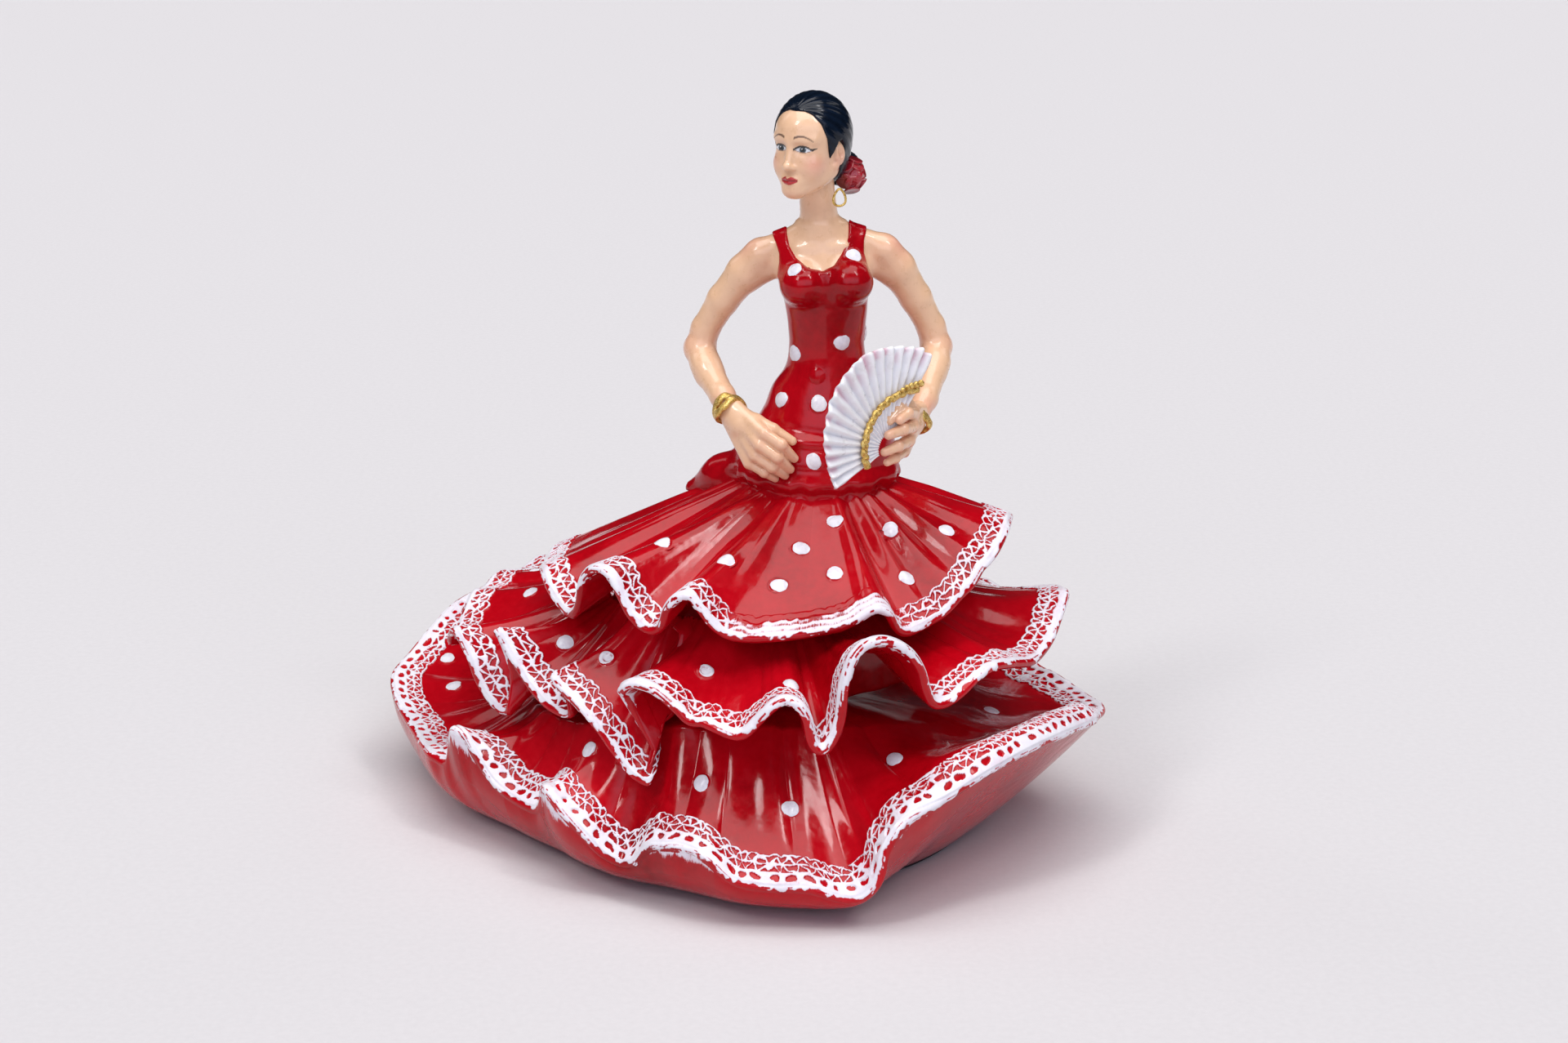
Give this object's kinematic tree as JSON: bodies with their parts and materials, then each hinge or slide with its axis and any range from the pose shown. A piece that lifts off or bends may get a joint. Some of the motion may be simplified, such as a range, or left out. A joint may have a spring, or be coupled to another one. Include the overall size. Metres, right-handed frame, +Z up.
{
  "type": "souvenir figurine",
  "caption": "Glossy painted dancer figurine in a tiered ruffled dress, one hand on the hip and the other holding an open fan, standing on a wide flared skirt.",
  "frame": {"origin": "centre of the footprint, on the surface the figurine stands on", "axes": "+Z up, -Y the way the skirt's front faces, +X to the figure's left"},
  "size_m": [0.164, 0.1391, 0.1668],
  "materials": {
    "red_enamel": "gloss red enamel over cast resin, with raised white dots and dry-brushed white lace relief along the hems",
    "skin_paint": "semi-gloss painted skin, rosy at elbows, shoulders and cheeks",
    "hair_paint": "gloss blue-black paint over combed relief",
    "white_paint": "satin white paint, faint pink in the grooves",
    "gold_paint": "brushed gold paint, worn at the edges",
    "steel": "plain drawn wire, hidden",
    "felt": "thin black adhesive felt"
  },
  "bodies": {
    "root": {"felt_pad": "felt", "skirt_base": "red_enamel", "skirt_core": "red_enamel", "flounce_middle": "red_enamel", "flounce_upper": "red_enamel", "dress_body": "red_enamel", "armature_rod": "steel", "neck_pin": "steel", "chest_and_neck": "skin_paint", "head": "skin_paint", "arm_right": "skin_paint", "arm_left": "skin_paint", "hand_right": "skin_paint", "hand_left": "skin_paint", "hair_cap": "hair_paint", "hair_bun": "hair_paint", "hair_flower": "red_enamel", "earring_right": "gold_paint", "earring_left": "gold_paint", "bangle_right_upper": "gold_paint", "bangle_right_lower": "gold_paint", "bangle_left": "gold_paint", "fan_leaf": "white_paint", "fan_sticks": "white_paint", "fan_band": "gold_paint"}
  },
  "joints": []
}
